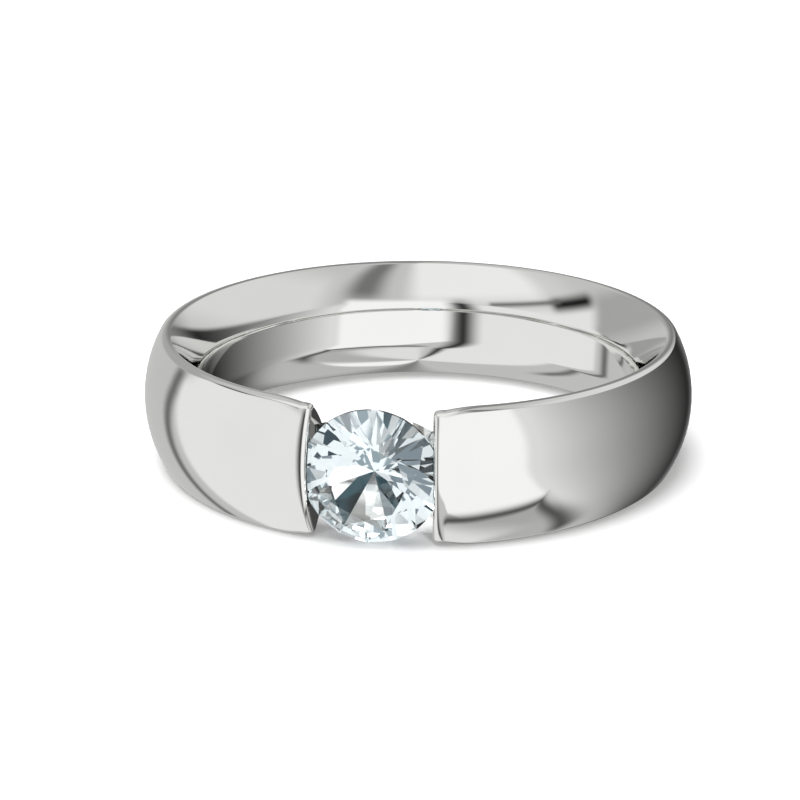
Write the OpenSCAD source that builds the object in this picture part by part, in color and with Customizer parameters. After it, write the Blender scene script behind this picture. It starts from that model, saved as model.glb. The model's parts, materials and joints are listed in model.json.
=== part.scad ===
// A wide polished band, open at the head, that grips one round faceted stone between its two ends.
// The ring lies on its side: the finger hole runs up along Z, the stone looks towards -Y,
// and the origin is on the ring's axis, in the plane that the rim rests on.

/* [Finger hole] */
// Diameter of the straight bore round the finger
finger_d = 17.2; // [15:0.1:22]
// Width of the straight bore between its two rounded edges
bore_w = 1.3; // [1:0.1:1.6]

/* [Band] */
// Width of the band along the finger
band_w = 5.2; // [5.2:0.1:6]
// Wall from the bore to the crown of the band
wall = 2.3; // [2.2:0.05:2.8]
// Radius of the domed outside, seen in section
dome_r = 5; // [4.5:0.1:8]
// Radius of the gently bulged flanks, seen in section
flank_r = 6; // [5:0.1:12]
// Radius of the rounded rims
rim_r = 0.3; // [0.25:0.05:0.4]
// Radius of the rounded edges of the straight bore
edge_r = 0.9; // [0.8:0.05:0.9]

/* [Gap at the head] */
// Width of the gap at the crown of the band
gap_w = 4.62; // [4.4:0.02:4.8]
// Lean of each end face, which narrows the gap towards the finger
end_lean = 9.5; // [6:0.5:12]
// Width of the ledge under the stone on each end
ledge_w = 3.3; // [2.6:0.1:3.6]
// Distance between the tips of the two ledges
ledge_gap = 2.5; // [2.5:0.1:3.3]
// Slope of the ledges, down from the stone's girdle
ledge_slope = 45; // [42:1:48]
// Lean of a ledge's two sides, from square to its face
ledge_lean = 42; // [38:1:44]
// Clearance round the stone in its seats
seat_clear = 0.04; // [0.03:0.01:0.06]

/* [Stone] */
// Diameter of the stone at its girdle
stone_d = 5; // [5:0.01:5.1]
// Height of the girdle where it is thinnest
girdle_h = 0.1; // [0.08:0.01:0.14]
// Height of the crown from the girdle to the table
crown_h = 0.78; // [0.7:0.02:0.86]
// Width of the table, corner to corner, as a share of the diameter
table_share = 0.56; // [0.5:0.01:0.62]
// How far the star facets reach from the table to the girdle
star_share = 0.5; // [0.4:0.01:0.6]
// How far the lower facets reach from the girdle to the culet
lower_share = 0.77; // [0.7:0.01:0.85]
// Space between the culet and the finger
culet_clear = 0.06; // [0.05:0.01:0.15]
// Turn of the facets about the stone's axis
stone_turn = -5; // [-22:1:22]

/* [Hidden] */

metal_colour = [0.80, 0.80, 0.78];
stone_colour = [0.72, 0.86, 0.91];
past = 1;
smooth = 144;

// The section has its radius along X and its distance from the middle plane along Y
bore_r = finger_d / 2;
band_r = bore_r + wall;
mid_z = band_w / 2;
dome_c = [band_r - dome_r, 0];
side_y = mid_z - rim_r;
outer_c = dome_c + [sqrt(pow(dome_r - rim_r, 2) - side_y * side_y), side_y];
inner_c = [bore_r + edge_r, bore_w / 2];

// The flank is an arc that touches both roundings, so its centre is known by its distance from each
flank_run = outer_c - inner_c;
flank_l = norm(flank_run);
flank_along = (pow(flank_r - edge_r, 2) - pow(flank_r - rim_r, 2) + flank_l * flank_l) / (2 * flank_l);
flank_back = sqrt(pow(flank_r - edge_r, 2) - flank_along * flank_along);
flank_out = [-flank_run[1], flank_run[0]] / flank_l;
flank_c = inner_c + flank_run / flank_l * flank_along - flank_out * flank_back;

// Eight facets go round the stone, sixteen in the rows next to the girdle, and the girdle
// itself has four small flats to each
facets = 8;
girdle_sides = 4 * facets;
step = 360 / facets;
half_cos = cos(step / 4);
full_cos = cos(step / 2);
stone_r = stone_d / 2;
table_r = stone_r * table_share;
table_mid_r = table_r * full_cos;
star_r = table_mid_r + star_share * (stone_r - table_mid_r);
lower_r = stone_r * (1 - lower_share);

// Heights along the stone's axis are distances from the ring's axis
table_h = band_r;
girdle_top = table_h - crown_h;
girdle_bottom = girdle_top - girdle_h;
culet_h = bore_r + culet_clear;

// A row's planes fall by its slope for each millimetre away from the axis. The main row starts
// where the curved edges of the sixteen next to the girdle reach furthest over it.
function sixteen_factor(r) = (stone_r - r * full_cos) / (half_cos * (stone_r - r));
function edge_lift(slope, r) = stone_r * (1 - half_cos) * slope * sixteen_factor(r);
function main_slope(rise, run, r) = rise / (run + stone_r * (1 - half_cos) * sixteen_factor(r));

bezel_slope = main_slope(crown_h, stone_r - table_r, star_r);
bezel_lift = edge_lift(bezel_slope, star_r);
star_h = bezel_lift + (stone_r - star_r * full_cos) * bezel_slope;

pavilion_h = girdle_bottom - culet_h;
pavilion_slope = main_slope(pavilion_h, stone_r, lower_r);
pavilion_lift = edge_lift(pavilion_slope, lower_r);
lower_h = pavilion_lift + (stone_r - lower_r * full_cos) * pavilion_slope;

// Arc of radius r about c, as a cap on the line from p to q
module cap(c, r, p, q) {
    intersection() {
        translate(c) circle(r, $fn = smooth);
        polygon([p, p + (p - c) / 2, q + (q - c) / 2, q]);
    }
}

module section_half() {
    polygon([[outer_c[0], 0], outer_c, inner_c, [inner_c[0], 0]]);
    translate(outer_c) circle(rim_r, $fn = smooth);
    translate(inner_c) circle(edge_r, $fn = smooth);
    cap(flank_c, flank_r, outer_c, inner_c);
    translate([bore_r, 0]) square([edge_r, bore_w / 2]);
}

module section() {
    section_half();
    mirror([0, 1]) section_half();
    cap(dome_c, dome_r, outer_c, [outer_c[0], -outer_c[1]]);
}

// Space between the two end faces, seen from above
module gap_outline() {
    crown_y = sqrt(band_r * band_r - gap_w * gap_w / 4);
    top_y = band_r + past;
    low_y = bore_r - past;
    top_x = gap_w / 2 + (top_y - crown_y) * tan(end_lean);
    low_x = gap_w / 2 - (crown_y - low_y) * tan(end_lean);
    polygon([[-top_x, -top_y], [top_x, -top_y], [low_x, -low_y], [-low_x, -low_y]]);
}

// The ledge on one end is a bar that slopes away under the pavilion, narrower below its face
module ledge() {
    root_y = girdle_bottom - pavilion_lift - seat_clear;
    tip_x = ledge_gap / 2;
    tip_y = root_y - (stone_r - tip_x) * tan(ledge_slope);
    low_w = ledge_w - 2 * past * tan(ledge_lean);
    translate([tip_x, -tip_y, mid_z]) rotate([90, 0, 90 - ledge_slope])
        linear_extrude((stone_r - tip_x) / cos(ledge_slope) + past)
            polygon([[0, -ledge_w / 2], [past, -low_w / 2], [past, low_w / 2], [0, ledge_w / 2]]);
}

module gap_cut() {
    difference() {
        translate([0, 0, -past]) linear_extrude(band_w + 2 * past) gap_outline();
        ledge();
        mirror([1, 0, 0]) ledge();
    }
}

// Turns what stands on the ring's axis along Z to look out of the head
module at_head() {
    translate([0, 0, mid_z]) rotate([90, 0, 0]) children();
}

// The stone's round outline, grown by the clearance
module seat_cut() {
    at_head() rotate_extrude($fn = smooth)
        polygon([[0, culet_h - seat_clear],
                 [stone_r + seat_clear, girdle_bottom - pavilion_lift - seat_clear],
                 [stone_r + seat_clear, girdle_top + bezel_lift + seat_clear],
                 [table_r + seat_clear, table_h + seat_clear],
                 [0, table_h + seat_clear]]);
}

// The stone's corners lie in rings: the table's, the star facets' tips, both edges of the girdle,
// where the lower facets end, and the culet
function ring(count, r, turn, h) =
    [for (i = [0 : count - 1])
        let (angle = turn + i * 360 / count) [r * cos(angle), r * sin(angle), h]];
function girdle_edge(h, lift) =
    [for (i = [0 : girdle_sides - 1])
        let (angle = i * 360 / girdle_sides)
            [stone_r * cos(angle), stone_r * sin(angle), h + (i % 2 == 0 ? lift : 0)]];
stone_points = concat(
    ring(facets, table_r, 0, table_h),
    ring(facets, star_r, step / 2, girdle_top + star_h),
    girdle_edge(girdle_top, bezel_lift),
    girdle_edge(girdle_bottom, -pavilion_lift),
    ring(facets, lower_r, step / 2, girdle_bottom - lower_h),
    [[0, 0, culet_h]]);

// Places of the corners in that list, counted round each ring
function table_at(i) = i % facets;
function star_at(i) = facets + (i + facets) % facets;
function top_at(i) = 2 * facets + i % girdle_sides;
function bottom_at(i) = 2 * facets + girdle_sides + i % girdle_sides;
function lower_at(i) = 2 * (facets + girdle_sides) + (i + facets) % facets;
culet_at = 3 * facets + 2 * girdle_sides;

turns = [0 : facets - 1];
stone_faces = concat(
    [[for (i = turns) facets - 1 - i]],
    [for (i = turns) [table_at(i), table_at(i + 1), star_at(i)]],
    [for (i = turns) [table_at(i), star_at(i), top_at(4 * i), star_at(i - 1)]],
    [for (i = turns, k = [4 * i, 4 * i + 2]) [star_at(i), top_at(k + 2), top_at(k + 1), top_at(k)]],
    [for (k = [0 : girdle_sides - 1]) [top_at(k), top_at(k + 1), bottom_at(k + 1), bottom_at(k)]],
    [for (i = turns, k = [4 * i, 4 * i + 2])
        [bottom_at(k), bottom_at(k + 1), bottom_at(k + 2), lower_at(i)]],
    [for (i = turns) [bottom_at(4 * i), lower_at(i), culet_at, lower_at(i - 1)]]);

module band() {
    color(metal_colour) difference() {
        rotate_extrude($fn = smooth) translate([0, mid_z]) section();
        gap_cut();
        seat_cut();
    }
}

module stone() {
    color(stone_colour) at_head() rotate([0, 0, stone_turn])
        polyhedron(stone_points, stone_faces, convexity = 2);
}

band();
stone();
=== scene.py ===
import bpy
import json
import math
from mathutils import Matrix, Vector


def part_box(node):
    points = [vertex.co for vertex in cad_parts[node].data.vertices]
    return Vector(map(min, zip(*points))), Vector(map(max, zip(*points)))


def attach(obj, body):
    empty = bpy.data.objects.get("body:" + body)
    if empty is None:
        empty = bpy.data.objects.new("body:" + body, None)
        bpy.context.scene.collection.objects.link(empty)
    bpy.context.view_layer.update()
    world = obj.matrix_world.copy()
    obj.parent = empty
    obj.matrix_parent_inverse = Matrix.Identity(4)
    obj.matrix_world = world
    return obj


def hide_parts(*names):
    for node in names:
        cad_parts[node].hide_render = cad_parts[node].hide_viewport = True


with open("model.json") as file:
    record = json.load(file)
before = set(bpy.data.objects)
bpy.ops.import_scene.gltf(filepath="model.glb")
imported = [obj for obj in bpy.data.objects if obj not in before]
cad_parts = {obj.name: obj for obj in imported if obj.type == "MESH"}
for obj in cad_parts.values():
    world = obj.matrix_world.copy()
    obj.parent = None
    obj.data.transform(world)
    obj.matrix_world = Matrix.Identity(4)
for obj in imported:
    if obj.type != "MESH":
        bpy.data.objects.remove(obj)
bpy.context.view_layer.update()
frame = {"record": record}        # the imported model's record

print("frame loaded")

mm = 0.001               # pieces are modelled in millimetres and brought to metres when they are done
weldDistance = 0.0002    # doubles closer than this are one point, in millimetres
alongIt = 0.9999         # a face looks along a direction from this dot product on
fullTurn = 2 * math.pi
degree = math.degrees(1)
straightUp = math.pi / 2


def boxInMillimetres(node):
    low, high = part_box(node)
    return low / mm, high / mm


bandLow, bandHigh = boxInMillimetres("band")
stoneLow, stoneHigh = boxInMillimetres("stone")
fingerHole = frame["record"]["mounts"][0]["dims"]
middle = bandHigh.z / 2  # height of the ring's middle plane above the floor


def deselectAll():
    if bpy.context.mode != "OBJECT":
        bpy.ops.object.mode_set(mode="OBJECT")
    bpy.ops.object.select_all(action="DESELECT")


def startPiece(name):
    # Names the primitive that was just added, puts its place into its mesh and opens it for editing
    piece = bpy.context.object
    piece.name = name
    piece.data.name = name
    bpy.ops.object.transform_apply(location=True, rotation=True, scale=True)
    bpy.ops.object.mode_set(mode="EDIT")
    return piece


def pickFaces(piece, wanted):
    # Selects the faces that the test accepts and no others
    bpy.ops.mesh.select_mode(type="FACE")
    bpy.ops.mesh.select_all(action="DESELECT")
    bpy.ops.object.mode_set(mode="OBJECT")
    for face in piece.data.polygons:
        face.select = bool(wanted(face))
    bpy.ops.object.mode_set(mode="EDIT")


def sliceAway(point, normal):
    # Cuts what is selected and takes away the side that the normal points to
    bpy.ops.mesh.bisect(plane_co=point, plane_no=normal, use_fill=True, clear_outer=True,
                        threshold=weldDistance)


def closeShell():
    bpy.ops.mesh.select_all(action="SELECT")
    bpy.ops.mesh.remove_doubles(threshold=weldDistance)
    bpy.ops.mesh.normals_make_consistent(inside=False)


def cutWith(piece, tool, operation):
    # Joins the tool to the piece or takes it away, and drops the tool
    deselectAll()
    bpy.context.view_layer.objects.active = piece
    piece.select_set(True)
    step = piece.modifiers.new(operation.lower(), "BOOLEAN")
    step.operation = operation
    step.object = tool
    step.solver = "EXACT"
    bpy.ops.object.modifier_apply(modifier=step.name)
    bpy.data.objects.remove(tool)


def bringToMetres(piece):
    deselectAll()
    bpy.context.view_layer.objects.active = piece
    piece.select_set(True)
    piece.scale = (mm, mm, mm)
    bpy.ops.object.transform_apply(location=True, rotation=True, scale=True)


# Stone: sizes, and the heights of its parts above the ring's axis, along the line that it looks out
stone = {
    "radius": (stoneHigh.x - stoneLow.x) / 2,
    "tableHeight": -stoneLow.y,
    "culetHeight": -stoneHigh.y,
    "crown": 0.78,           # girdle to table
    "girdle": 0.1,           # where it is thinnest
    "tableShare": 0.56,      # table, corner to corner, of the diameter
    "starShare": 0.5,        # reach of the star facets towards the girdle
    "lowerShare": 0.77,      # reach of the lower facets towards the culet
    "facets": 8,
    "girdleSides": 128,
    "turn": math.radians(-5),
    "spare": 1.0,            # length of the rough below the culet
    "seatClearance": 0.04,
    "seatTip": 0.01,         # tip of the seat's cone, as a share of its foot
}

# Band: sizes of its section and of its two ends
band = {
    "boreRadius": fingerHole["r_mm"],
    "boreWidth": fingerHole["length_mm"],
    "crownRadius": (bandHigh.x - bandLow.x) / 2,
    "width": bandHigh.z - bandLow.z,
    "domeRadius": 5.0,
    "flankRadius": 6.0,
    "rimRadius": 0.3,
    "edgeRadius": 0.9,       # of the rounded edges of the straight bore
    "roundSteps": 288,       # steps once round the finger
    "arcStep": math.radians(4.5),
    "gapWidth": 4.62,        # at the crown
    "endLean": math.radians(9.5),
    "easeRadius": 2.0,       # each end edge first eases off by this radius, over this turn
    "easeTurn": math.radians(8.4),
    "easeSteps": 5,
    "lipRadius": 0.18,       # and then rounds over
    "lipSteps": 10,
    "endShare": 0.958,       # width of the ends, as a share of the band's
    "endTaper": 1.2,         # the last length of the band, over which it narrows
    "endWeld": 0.02,         # corners of the end face closer than this are one point
    "endInset": 0.045,       # a last flat ring, which keeps the lip's shading off the end face
    "ledgeWidth": 3.3,
    "ledgeGap": 2.5,         # between the tips of the two ledges
    "ledgeSlope": math.radians(45),
    "ledgeLean": math.radians(42),      # of a ledge's sides, from square to its face
    "ledgeLift": 0.03,       # of a ledge's underside from the bore
    "smoothUpTo": math.radians(28),
}


def polar(vector):
    return math.atan2(vector.y, vector.x)


def drawArc(centre, start, end):
    # Carries the outline on from its last point, round a centre given as radius and height
    turn = end - start
    steps = max(2, math.ceil(abs(turn) / band["arcStep"]))
    bpy.ops.mesh.spin(steps=steps, angle=turn, center=(centre.x, 0, middle + centre.y), axis=(0, 1, 0))


def drawSection():
    # The outline starts as one point on the bore and runs over the upper rim, the dome and the
    # lower rim
    rim = band["rimRadius"]
    edge = band["edgeRadius"]
    domeCentre = Vector((band["crownRadius"] - band["domeRadius"], 0))
    rimHeight = band["width"] / 2 - rim
    rimReach = math.sqrt((band["domeRadius"] - rim) ** 2 - rimHeight ** 2)
    outer = domeCentre + Vector((rimReach, rimHeight))
    inner = Vector((band["boreRadius"] + edge, band["boreWidth"] / 2))
    run = outer - inner
    outwards = Vector((-run.y, run.x)).normalized()
    toOuter = band["flankRadius"] - rim          # the flank's arc touches both roundings
    toInner = band["flankRadius"] - edge
    along = (toInner ** 2 - toOuter ** 2 + run.length ** 2) / (2 * run.length)
    back = math.sqrt(toInner ** 2 - along ** 2)
    flank = inner + run.normalized() * along - outwards * back
    innerEnd = polar(inner - flank)
    outerStart = polar(outer - flank)
    outerEnd = polar(outer - domeCentre)

    def mirrored(centre):
        return Vector((centre.x, -centre.y))

    bpy.ops.mesh.extrude_region_move(TRANSFORM_OT_translate={"value": (0, 0, band["boreWidth"])})
    drawArc(inner, math.pi, innerEnd)
    drawArc(flank, innerEnd, outerStart)
    drawArc(outer, outerStart, outerEnd)
    drawArc(domeCentre, outerEnd, -outerEnd)
    drawArc(mirrored(outer), -outerEnd, -outerStart)
    drawArc(mirrored(flank), -outerStart, -innerEnd)
    drawArc(mirrored(inner), -innerEnd, -math.pi)
    bpy.ops.mesh.select_all(action="SELECT")
    bpy.ops.mesh.remove_doubles(threshold=weldDistance)


def cutEnd(piece, side):
    # Cuts one end face, then builds up its rounded lip in small insets
    lean = band["endLean"]
    ease = band["easeTurn"]
    lip = band["lipRadius"]
    reach = band["easeRadius"] * math.sin(ease) + lip * (1 - math.sin(ease))
    halfGap = band["gapWidth"] / 2
    crownDepth = math.sqrt(band["crownRadius"] ** 2 - halfGap ** 2)
    normal = Vector((-side * math.cos(lean), -math.sin(lean), 0))
    point = Vector((side * halfGap, -crownDepth, middle)) - normal * reach

    def nearHead(face):
        return face.center.y < 0 and 0 < face.center.x * side < 2 * band["gapWidth"]

    def onEndFace(face):
        height = (face.center - point).dot(normal)
        return face.normal.dot(normal) > alongIt and abs(height) < weldDistance

    pickFaces(piece, nearHead)
    sliceAway(point, normal)
    pickFaces(piece, onEndFace)
    bpy.ops.mesh.remove_doubles(threshold=band["endWeld"])
    pickFaces(piece, onEndFace)
    bpy.ops.transform.resize(value=(1, 1, band["endShare"]), center_override=(0, 0, middle),
                             use_proportional_edit=True, proportional_edit_falloff="SHARP",
                             proportional_size=band["endTaper"])

    def roundOff(radius, start, end, steps):
        for index in range(steps):
            before = start + (end - start) * index / steps
            after = start + (end - start) * (index + 1) / steps
            bpy.ops.mesh.inset(thickness=radius * (math.cos(before) - math.cos(after)),
                               depth=radius * (math.sin(after) - math.sin(before)))

    roundOff(band["easeRadius"], 0, ease, band["easeSteps"])
    roundOff(lip, ease, straightUp, band["lipSteps"])
    bpy.ops.mesh.inset(thickness=band["endInset"], depth=0)


def makeBand():
    deselectAll()
    start = (band["boreRadius"], 0, middle - band["boreWidth"] / 2)
    bpy.ops.mesh.primitive_plane_add(size=1, location=start)
    piece = startPiece("polished_band")
    bpy.ops.mesh.merge(type="CENTER")
    drawSection()
    bpy.ops.mesh.spin(steps=band["roundSteps"], angle=fullTurn, center=(0, 0, 0), axis=(0, 0, 1))
    closeShell()
    for side in (1, -1):
        cutEnd(piece, side)
    return piece


# Slopes and lifts of the facets, worked out as for any round cut
def cutPlan():
    radius = stone["radius"]
    step = fullTurn / stone["facets"]
    halfCos = math.cos(step / 4)
    fullCos = math.cos(step / 2)
    tableRadius = radius * stone["tableShare"]
    tableMiddle = tableRadius * fullCos
    starRadius = tableMiddle + stone["starShare"] * (radius - tableMiddle)
    lowerRadius = radius * (1 - stone["lowerShare"])
    girdleTop = stone["tableHeight"] - stone["crown"]
    girdleBottom = girdleTop - stone["girdle"]

    def sixteenFactor(reach):
        return (radius - reach * fullCos) / (halfCos * (radius - reach))

    def mainSlope(rise, run, reach):
        return rise / (run + radius * (1 - halfCos) * sixteenFactor(reach))

    bezelSlope = mainSlope(stone["crown"], radius - tableRadius, starRadius)
    bezelSixteen = bezelSlope * sixteenFactor(starRadius)
    bezelLift = radius * (1 - halfCos) * bezelSixteen
    starRise = bezelLift + (radius - starRadius * fullCos) * bezelSlope
    pavilionRise = girdleBottom - stone["culetHeight"]
    pavilionSlope = mainSlope(pavilionRise, radius, lowerRadius)
    pavilionSixteen = pavilionSlope * sixteenFactor(lowerRadius)
    pavilionLift = radius * (1 - halfCos) * pavilionSixteen
    starSlope = (stone["crown"] - starRise) / (starRadius - tableMiddle)
    return {
        "step": step,
        "girdleTop": girdleTop,
        "girdleBottom": girdleBottom,
        "tableRadius": tableRadius,
        "tableMiddle": tableMiddle,
        "bezelSlope": bezelSlope,
        "bezelLift": bezelLift,
        "bezelSixteen": bezelSixteen,
        "starSlope": starSlope,
        "pavilionSlope": pavilionSlope,
        "pavilionLift": pavilionLift,
        "pavilionSixteen": pavilionSixteen,
    }


plan = cutPlan()


def atHead(across, along, height):
    # From the stone's own directions to the ring's: its height runs out of the head, towards -Y
    return Vector((across, -height, middle + along))


def cutRow(count, offset, slope, radius, height, looksUp):
    # Grinds one row of facets. Each plane passes at a height over a radius, and falls away by its
    # slope.
    for index in range(count):
        angle = stone["turn"] + offset + index * fullTurn / count
        across = math.cos(angle)
        along = math.sin(angle)
        point = atHead(radius * across, radius * along, height)
        normal = Vector((slope * across, -looksUp, slope * along)).normalized()
        bpy.ops.mesh.select_all(action="SELECT")
        sliceAway(point, normal)


def makeStone():
    radius = stone["radius"]
    low = stone["culetHeight"] - stone["spare"]
    deselectAll()
    bpy.ops.mesh.primitive_cylinder_add(
        vertices=stone["girdleSides"], radius=radius, depth=stone["tableHeight"] - low,
        location=atHead(0, 0, (stone["tableHeight"] + low) / 2), rotation=(straightUp, 0, 0))
    piece = startPiece("faceted_stone")
    facets = stone["facets"]
    half = plan["step"] / 2
    quarter = plan["step"] / 4
    tableHeight = stone["tableHeight"]
    girdleTop = plan["girdleTop"]
    girdleBottom = plan["girdleBottom"]
    cutRow(facets, 0, plan["bezelSlope"], radius, girdleTop + plan["bezelLift"], 1)
    cutRow(facets, half, plan["starSlope"], plan["tableMiddle"], tableHeight, 1)
    cutRow(2 * facets, quarter, plan["bezelSixteen"], radius, girdleTop, 1)
    cutRow(facets, 0, plan["pavilionSlope"], radius, girdleBottom - plan["pavilionLift"], -1)
    cutRow(2 * facets, quarter, plan["pavilionSixteen"], radius, girdleBottom, -1)
    closeShell()
    return piece


def makeSeatTool():
    # The stone's round outline grown by its clearance, which cuts the groove in each end
    clear = stone["seatClearance"]
    radius = stone["radius"] + clear
    low = plan["girdleBottom"] - plan["pavilionLift"] - clear
    high = plan["girdleTop"] + plan["bezelLift"] + clear
    deselectAll()
    bpy.ops.mesh.primitive_cylinder_add(vertices=stone["girdleSides"], radius=radius, depth=high - low,
                                        location=atHead(0, 0, (low + high) / 2),
                                        rotation=(straightUp, 0, 0))
    tool = startPiece("seat_tool")

    def drawOut(outwards, rise, share):
        pickFaces(tool, lambda face: face.normal.y * outwards > alongIt)
        bpy.ops.mesh.extrude_region_move(TRANSFORM_OT_translate={"value": (0, outwards * rise, 0)})
        bpy.ops.transform.resize(value=(share, 1, share), center_override=(0, 0, middle))

    drawOut(-1, stone["tableHeight"] + clear - high, (plan["tableRadius"] + clear) / radius)
    drawOut(1, low - stone["culetHeight"] + clear, stone["seatTip"])
    closeShell()
    deselectAll()
    return tool


def makeLedge(side):
    # A block cut to the slope of its face, to its leaning sides and to the round of the bore. It
    # reaches from inside the end face to its tip.
    tip = band["ledgeGap"] / 2
    slope = band["ledgeSlope"]
    root = stone["radius"]
    rootDepth = plan["girdleBottom"] - plan["pavilionLift"] - stone["seatClearance"]
    tipDepth = rootDepth - (root - tip) * math.tan(slope)
    below = Vector((side * math.sin(slope), math.cos(slope), 0))
    boreDepth = math.sqrt(band["boreRadius"] ** 2 - root ** 2)
    deselectAll()
    bpy.ops.mesh.primitive_cube_add(
        size=1, location=(side * (tip + root) / 2, -(rootDepth + boreDepth) / 2, middle),
        scale=(root - tip, rootDepth - boreDepth, band["ledgeWidth"]))
    tool = startPiece("ledge_tool")

    def cutTool(point, normal):
        bpy.ops.mesh.select_all(action="SELECT")
        sliceAway(point, normal)

    face = Vector((side * tip, -tipDepth, middle))
    cutTool(face, -below)
    cutTool(face, Vector((-side * math.cos(slope), math.sin(slope), 0)))
    for rim in (1, -1):
        edge = face + Vector((0, 0, rim * band["ledgeWidth"] / 2))
        cutTool(edge, Vector((0, 0, rim)) + below * math.tan(band["ledgeLean"]))
    closeShell()
    deselectAll()
    bpy.ops.mesh.primitive_cylinder_add(vertices=band["roundSteps"], depth=2 * band["width"],
                                        radius=band["boreRadius"] + band["ledgeLift"],
                                        location=(0, 0, middle))
    cutWith(tool, startPiece("finger_tool"), "DIFFERENCE")
    deselectAll()
    return tool


stonePiece = makeStone()
print("stone cut, faces:", len(stonePiece.data.polygons))
bandPiece = makeBand()
print("band spun, faces:", len(bandPiece.data.polygons))
for side in (1, -1):
    cutWith(bandPiece, makeLedge(side), "UNION")
cutWith(bandPiece, makeSeatTool(), "DIFFERENCE")
print("seats cut, faces:", len(bandPiece.data.polygons))

deselectAll()
bpy.context.view_layer.objects.active = bandPiece
bandPiece.select_set(True)
bpy.ops.object.shade_smooth_by_angle(angle=band["smoothUpTo"])
for piece in (bandPiece, stonePiece):
    bringToMetres(piece)

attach(bandPiece, "root")
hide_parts("band")
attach(stonePiece, "root")
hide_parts("stone")
print("pieces placed")


class Signal:
    # One output socket of a node, with the arithmetic that the materials use
    def __init__(self, tree, socket):
        self.tree = tree
        self.socket = socket

    def __add__(self, other):
        return self.tree.work("ADD", self, other)

    def __radd__(self, other):
        return self.tree.work("ADD", other, self)

    def __sub__(self, other):
        return self.tree.work("SUBTRACT", self, other)

    def __rsub__(self, other):
        return self.tree.work("SUBTRACT", other, self)

    def __mul__(self, other):
        return self.tree.work("MULTIPLY", self, other)

    def __rmul__(self, other):
        return self.tree.work("MULTIPLY", other, self)

    def out(self, name):
        # Another output of the same node, by its name or number
        return Signal(self.tree, self.socket.node.outputs[name])


class Shader:
    # A node tree that starts empty
    def __init__(self, nodeTree):
        self.nodeTree = nodeTree
        nodeTree.nodes.clear()

    def node(self, kind, settings=None, values=None):
        made = self.nodeTree.nodes.new(kind)
        for name, setting in (settings or {}).items():
            setattr(made, name, setting)
        for name, value in (values or {}).items():
            if isinstance(value, Signal):
                self.nodeTree.links.new(value.socket, made.inputs[name])
            else:
                made.inputs[name].default_value = value
        return Signal(self, made.outputs[0]) if made.outputs else None

    def work(self, operation, first, second=0.0):
        return self.node("ShaderNodeMath", {"operation": operation}, {0: first, 1: second})

    def ramp(self, signal, start, end):
        # Rises softly from 0 at the start to 1 at the end
        return self.node("ShaderNodeMapRange", {"interpolation_type": "SMOOTHSTEP"},
                         {0: signal, 1: start, 2: end, 3: 0.0, 4: 1.0})

    def mix(self, share, first, second):
        # From the first colour to the second
        return self.node("ShaderNodeMix", {"data_type": "RGBA"}, {0: share, 6: first, 7: second}).out(2)


def newMaterial(name):
    made = bpy.data.materials.new(name)
    made.use_nodes = True
    return made, Shader(made.node_tree)


def finishMaterial(shader, surface, volume=None):
    links = {"Surface": surface}
    if volume:
        links["Volume"] = volume
    shader.node("ShaderNodeOutputMaterial", None, links)


metal = {
    "colour": (0.86, 0.86, 0.845, 1),
    "dimColour": (0.82, 0.82, 0.80, 1),
    "roughness": 0.035,
    "roughnessSpread": 0.04,
    "cloudScale": 400.0,     # clouds of finer and coarser polish, to the metre
    "cloudDetail": 3.0,
}


def makeMetal():
    material, shader = newMaterial("white gold")
    place = shader.node("ShaderNodeTexCoord").out("Object")
    cloud = shader.node("ShaderNodeTexNoise", None, {
        "Vector": place,
        "Scale": metal["cloudScale"],
        "Detail": metal["cloudDetail"],
    })
    surface = shader.node("ShaderNodeBsdfPrincipled", None, {
        "Base Color": shader.mix(cloud, metal["dimColour"], metal["colour"]),
        "Metallic": 1.0,
        "Roughness": cloud * metal["roughnessSpread"] + metal["roughness"],
    })
    finishMaterial(shader, surface)
    return material


# Stone: light that leaves through the pavilion is tinted by the stone's depth colour. A few facets that
# look out on the dark inside of the ring get a painted dark colour, a painted reflection of that dark
# metal. Their turn about the stone's axis and its half width are in degrees.
gem = {
    "ior": 1.58,
    "depthColour": (0.40, 0.72, 0.85, 1),
    "depth": 45.0,
    "deeper": 1.6,           # the pavilion refracts as if it were so many times as deep
    "colour": (0.99, 1.0, 1.0, 1),
    "paintedReflections": {
        "lower left": {"turn": -134, "half": 8, "colour": (0.0015, 0.011, 0.018, 1)},
        "lower right": {"turn": -50, "half": 4, "colour": (0.0015, 0.011, 0.018, 1)},
        "right": {"turn": -61, "half": 4, "colour": (0.20, 0.27, 0.31, 1)},
    },
}


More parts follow.
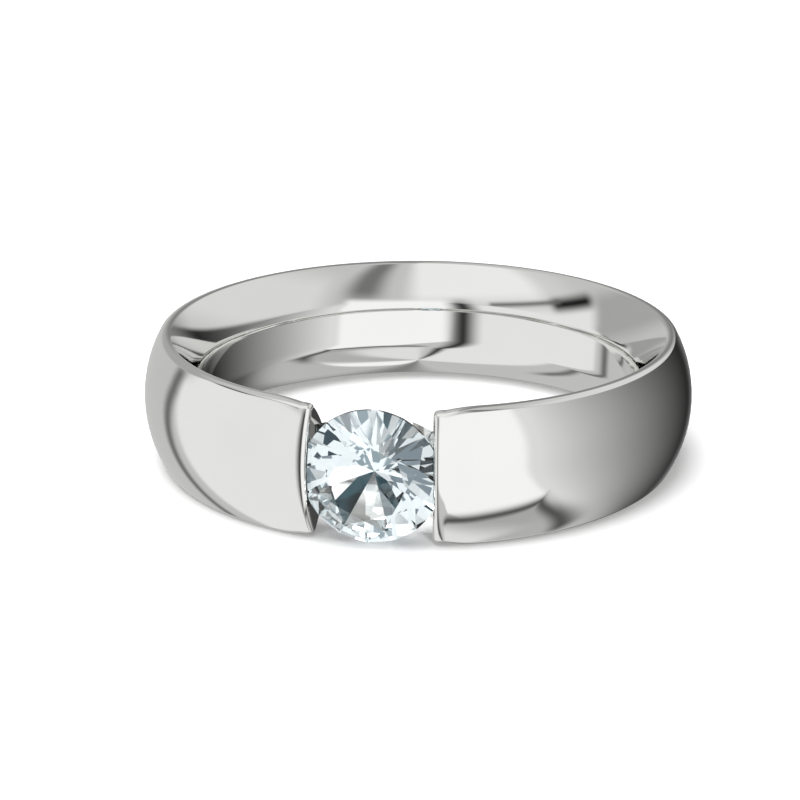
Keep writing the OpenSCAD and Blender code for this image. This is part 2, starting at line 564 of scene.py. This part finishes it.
def makeGem():
    material, shader = newMaterial("aquamarine")
    normal = shader.node("ShaderNodeNewGeometry").out("True Normal")
    normalParts = shader.node("ShaderNodeSeparateXYZ", None, {0: normal})
    placeParts = shader.node("ShaderNodeSeparateXYZ", None,
                             {0: shader.node("ShaderNodeTexCoord").out("Object")})

    def vector(operation, first, second=(0, 0, 0)):
        return shader.node("ShaderNodeVectorMath", {"operation": operation}, {0: first, 1: second})

    pavilion = shader.work("GREATER_THAN", placeParts.out("Y"), -plan["girdleBottom"] * mm)
    squash = shader.node("ShaderNodeCombineXYZ", None,
                         {0: 1.0, 1: 1.0 - pavilion * (1 - 1 / gem["deeper"]), 2: 1.0})
    steeper = vector("NORMALIZE", vector("MULTIPLY", normal, squash))

    # A facet's turn about the stone's axis, from its normal as it looks out of the pavilion
    outwards = shader.work("SIGN", normalParts.out("Y"))
    facetTurn = degree * shader.work("ARCTAN2", normalParts.out("Z") * outwards,
                                     normalParts.out("X") * outwards)
    colour = gem["colour"]
    # Painted reflection: the pavilion facets at these turns are coloured dark in place of the dark
    # metal they reflect
    for shade in gem["paintedReflections"].values():
        away = shader.work("ABSOLUTE", facetTurn - shade["turn"])
        mask = shader.work("LESS_THAN", away, shade["half"]) * pavilion
        colour = shader.mix(mask, colour, shade["colour"])
    surface = shader.node("ShaderNodeBsdfPrincipled", None, {
        "Base Color": colour,
        "Normal": steeper,
        "Roughness": 0.0,
        "IOR": gem["ior"],
        "Transmission Weight": 1.0,
    })
    volume = shader.node("ShaderNodeVolumeAbsorption", None,
                         {"Color": gem["depthColour"], "Density": gem["depth"]})
    finishMaterial(shader, surface, volume)
    return material


bandPiece.data.materials.clear()
bandPiece.data.materials.append(makeMetal())
stonePiece.data.materials.clear()
stonePiece.data.materials.append(makeGem())
print("materials made")

paleFloor = {
    "size": 3,               # in metres
    "colour": (0.9, 0.9, 0.9, 1),
    "roughness": 0.6,
}


def makeFloor():
    deselectAll()
    bpy.ops.mesh.primitive_plane_add(size=paleFloor["size"])
    floor = bpy.context.object
    floor.name = "floor"
    material, shader = newMaterial("pale floor")
    finishMaterial(shader, shader.node("ShaderNodeBsdfPrincipled", None, {
        "Base Color": paleFloor["colour"],
        "Roughness": paleFloor["roughness"],
    }))
    floor.data.materials.append(material)
    floor.visible_glossy = False     # the metal mirrors the tent and not the floor


makeFloor()
print("floor laid")

# Light tent round the ring. A place on it is its turn from the side that the stone faces, to the
# right, and its rise above the horizon, both in degrees. Each wall is laid over those before it.
tent = {
    "base": 0.62,
    "walls": {
        "left": {"turn": (-107, -16), "rise": (-100, 34), "soft": 4, "light": 0.90},
        "left back": {"turn": (-200, -107), "rise": (-100, 12), "soft": 4, "light": 0.59},
        "high back": {"turn": (-200, -104), "rise": (12, 38), "soft": 6, "light": 0.43},
        "high left": {"turn": (-92, -60), "rise": (36, 120), "soft": 12, "light": 0.72},
        "high front": {"turn": (-72, 14), "rise": (40, 120), "soft": 9, "light": 0.97},
        "high right": {"turn": (70, 165), "rise": (18, 58), "soft": 10, "light": 0.79},
        "seam above": {"turn": (34, 56), "rise": (42, 80), "soft": 9, "light": 0.20},
    },
    "seams": {
        "front seam": {"turn": (-22, -10), "rise": (-100, 40), "soft": 7, "light": 0.015},
        "dark card": {"turn": (-103, -76), "rise": (32, 40), "soft": 4, "light": 0.01},
        "card's thin end": {"turn": (-82, -35), "rise": (36.5, 39.5), "soft": 2, "light": 0.15},
    },
}

# The front wall and the right wall. Low down they lean round towards the back.
frontWall = {
    "light": 1.07,
    "start": (-15, -9),
    "end": (50.5, 58.5),
    "top": (39, 44),
    "leanRise": -8,          # both walls lean below this rise
    "lean": 0.02,
}
rightWall = {
    "light": 0.80,           # where it starts, from where it falls off to the back
    "back": 180,
    "reach": 120,
    "fall": 2.05,            # power by which it falls off
    "lowLight": 0.55,        # near the table
    "lowRise": (-58, -40),
    "topRise": 38,           # its upper edge slopes down to the back
    "topTurn": 57,
    "topSlope": 0.26,
    "topSoft": 1.5,
}

# A dark fold in the cloth below both, highest at one turn, and the table under it
fold = {
    "turn": 68,
    "rise": -39,
    "drop": 2.7,
    "span": (5, 120),
    "soft": 8,
    "edgeSoft": 1.5,
    "light": 0.10,
    "above": 13,             # how far its shade reaches up and down
    "below": 6,
    "tableLight": 0.45,
    "tableNear": 0.85,
    "nearRise": (-76, -55),
    "tableAside": 0.50,
    "asideTurn": (70, 95),
}
backWall = {
    "turn": (157, 180),      # the walls of both sides meet softly in it
    "light": 0.24,
}
leftSeam = {
    "turn": -111,            # at the horizon
    "slope": 0.25,
    "rise": (-60, 11),
    "soft": 4,
    "half": 6.5,
    "light": 0.17,
}


def makeTent():
    world = bpy.data.worlds.new("light tent")
    bpy.context.scene.world = world
    world.use_nodes = True
    shader = Shader(world.node_tree)
    direction = shader.node("ShaderNodeTexCoord").out("Generated")
    parts = shader.node("ShaderNodeSeparateXYZ", None, {0: direction})

    work = shader.work
    ramp = shader.ramp

    def between(signal, limits, soft):
        low, high = limits
        return ramp(signal, low - soft, low + soft) * (1 - ramp(signal, high - soft, high + soft))

    def lay(level, light, mask):
        return level + mask * (light - level)

    def layAll(level, walls):
        for wall in walls.values():
            mask = between(turn, wall["turn"], wall["soft"]) * between(rise, wall["rise"], wall["soft"])
            level = lay(level, wall["light"], mask)
        return level

    turn = work("ARCTAN2", parts.out("X"), parts.out("Y") * -1.0) * degree
    rise = work("ARCSINE", parts.out("Z")) * degree
    level = layAll(tent["base"], tent["walls"])

    low = work("MINIMUM", rise - frontWall["leanRise"], 0.0)
    leant = turn - low * low * frontWall["lean"]
    pastFront = ramp(leant, *frontWall["end"])
    front = ramp(leant, *frontWall["start"]) * (1 - pastFront) * (1 - ramp(rise, *frontWall["top"]))
    level = lay(level, frontWall["light"], front)

    share = work("MAXIMUM", (rightWall["back"] - leant) * (1 / rightWall["reach"]), 0.0)
    right = work("POWER", share, rightWall["fall"]) * rightWall["light"]
    right = lay(right, rightWall["lowLight"], 1 - ramp(rise, *rightWall["lowRise"]))
    top = rightWall["topRise"] - (turn - rightWall["topTurn"]) * rightWall["topSlope"]
    underTop = 1 - ramp(rise - top, -rightWall["topSoft"], rightWall["topSoft"])
    level = lay(level, right, pastFront * underTop)

    height = fold["rise"] - work("SQRT", work("ABSOLUTE", turn - fold["turn"])) * fold["drop"]
    span = between(turn, fold["span"], fold["soft"])
    table = lay(fold["tableLight"], fold["tableNear"], 1 - ramp(rise, *fold["nearRise"]))
    table = lay(table, fold["tableAside"], ramp(turn, *fold["asideTurn"]))
    underFold = 1 - ramp(rise - height, -fold["edgeSoft"], fold["edgeSoft"])
    level = lay(level, table, span * underFold)
    shade = 1 - ramp(rise - height, 0.0, fold["above"])
    shade = shade * shade * ramp(rise - height, -fold["below"], 0.0)
    level = lay(level, fold["light"], span * shade)
    level = lay(level, backWall["light"], ramp(work("ABSOLUTE", turn), *backWall["turn"]))

    level = layAll(level, tent["seams"])
    middleTurn = work("MINIMUM", rise, 0.0) * leftSeam["slope"] + leftSeam["turn"]
    aside = work("ABSOLUTE", turn - middleTurn)
    seam = (1 - ramp(aside, 0.0, leftSeam["half"])) * between(rise, leftSeam["rise"], leftSeam["soft"])
    level = lay(level, leftSeam["light"], seam)
    light = shader.node("ShaderNodeBackground", None, {"Color": (1, 1, 1, 1), "Strength": level})
    shader.node("ShaderNodeOutputWorld", None, {"Surface": light})


makeTent()
print("light tent made")

# Flags that only the light from the stone sees. They darken some of its facets, and the metal's
# reflections stay as they are. Their place is given like the tent's.
flags = {
    "flag ahead": {"turn": (-24, 4), "rise": (14, 46), "colour": (0.24, 0.28, 0.31, 1)},
    "flag on the left": {"turn": (-75, -38), "rise": (-4, 22), "colour": (0.22, 0.26, 0.29, 1)},
    "flag on the right": {"turn": (22, 53), "rise": (9, 21), "colour": (0.02, 0.05, 0.07, 1)},
}
flagDistance = 250           # from the stone, in millimetres

# A mottled cloth on the floor in front, from the ring out, for the same facets. Sizes in millimetres.
cloth = {
    "near": -12,
    "far": -60,
    "half": 40,
    "height": 0.02,
    "grain": 260.0,          # to the metre
    "dark": (0.36, 0.42, 0.45, 1),
    "light": (1.15, 1.15, 1.15, 1),
    "darkUpTo": 0.47,        # level of the mottle
    "lightFrom": 0.53,
}


def showToStone(card, material):
    card.data.materials.append(material)
    card.visible_camera = False
    card.visible_diffuse = False
    card.visible_glossy = False
    card.visible_shadow = False
    card.visible_volume_scatter = False


def makeFlag(name, flag):
    turn = math.radians(sum(flag["turn"]) / 2)
    rise = math.radians(sum(flag["rise"]) / 2)
    flat = math.cos(rise)
    width = math.radians(flag["turn"][1] - flag["turn"][0]) * flat * flagDistance
    height = math.radians(flag["rise"][1] - flag["rise"][0]) * flagDistance
    towards = Vector((math.sin(turn) * flat, -math.cos(turn) * flat, math.sin(rise)))
    place = atHead(0, 0, stone["tableHeight"]) + towards * flagDistance
    deselectAll()
    bpy.ops.mesh.primitive_plane_add(size=1, location=place * mm,
                                     rotation=towards.to_track_quat("Z", "Y").to_euler())
    card = bpy.context.object
    card.name = name
    card.scale = (width * mm, height * mm, 1)
    material, shader = newMaterial(name)
    finishMaterial(shader, shader.node("ShaderNodeEmission", None, {"Color": flag["colour"]}))
    showToStone(card, material)


def makeCloth():
    deselectAll()
    depth = cloth["near"] - cloth["far"]
    bpy.ops.mesh.primitive_plane_add(
        size=1, location=(0, (cloth["near"] + cloth["far"]) / 2 * mm, cloth["height"] * mm))
    card = bpy.context.object
    card.name = "cloth"
    card.scale = (2 * cloth["half"] * mm, depth * mm, 1)
    bpy.ops.object.transform_apply(location=False, rotation=False, scale=True)
    material, shader = newMaterial("cloth")
    place = shader.node("ShaderNodeTexCoord").out("Object")
    mottle = shader.node("ShaderNodeTexNoise", None, {
        "Vector": place,
        "Scale": cloth["grain"],
        "Detail": 0.0,
    })
    share = shader.ramp(mottle, cloth["darkUpTo"], cloth["lightFrom"])
    colour = shader.mix(share, cloth["dark"], cloth["light"])
    finishMaterial(shader, shader.node("ShaderNodeEmission", None, {"Color": colour}))
    showToStone(card, material)


for name, flag in flags.items():
    makeFlag(name, flag)
makeCloth()
print("flags and cloth set")

# Overhead softbox for the floor and its soft shadows
softbox = {
    "place": (-0.05, -0.06, 0.35),
    "size": 0.30,
    "power": 1.6,
}
softboxData = bpy.data.lights.new("softbox", "AREA")
softboxData.shape = "DISK"
softboxData.size = softbox["size"]
softboxData.energy = softbox["power"]
softboxObject = bpy.data.objects.new("softbox", softboxData)
bpy.context.scene.collection.objects.link(softboxObject)
softboxObject.location = softbox["place"]
softboxObject.rotation_euler = Vector(softbox["place"]).to_track_quat("Z", "Y").to_euler()
softboxObject.visible_glossy = False

# Camera
camera = {
    "lens": 88.1,
    "sensor": 36.0,
    "place": (12.12, -73.63, 27.6),     # mm
    "aim": (-0.683, -0.287, 2.117),     # mm
    "clipStart": 0.001,
    "clipEnd": 10,
}
cameraData = bpy.data.cameras.new("camera")
cameraData.lens = camera["lens"]
cameraData.sensor_width = camera["sensor"]
cameraObject = bpy.data.objects.new("camera", cameraData)
bpy.context.scene.collection.objects.link(cameraObject)
place = Vector(camera["place"]) * mm
aim = Vector(camera["aim"]) * mm
cameraObject.location = place
cameraObject.rotation_euler = (aim - place).to_track_quat("-Z", "Y").to_euler()
cameraData.clip_start = camera["clipStart"]
cameraData.clip_end = camera["clipEnd"]
bpy.context.scene.camera = cameraObject
bpy.context.scene.view_settings.view_transform = "Standard"
print("camera set")
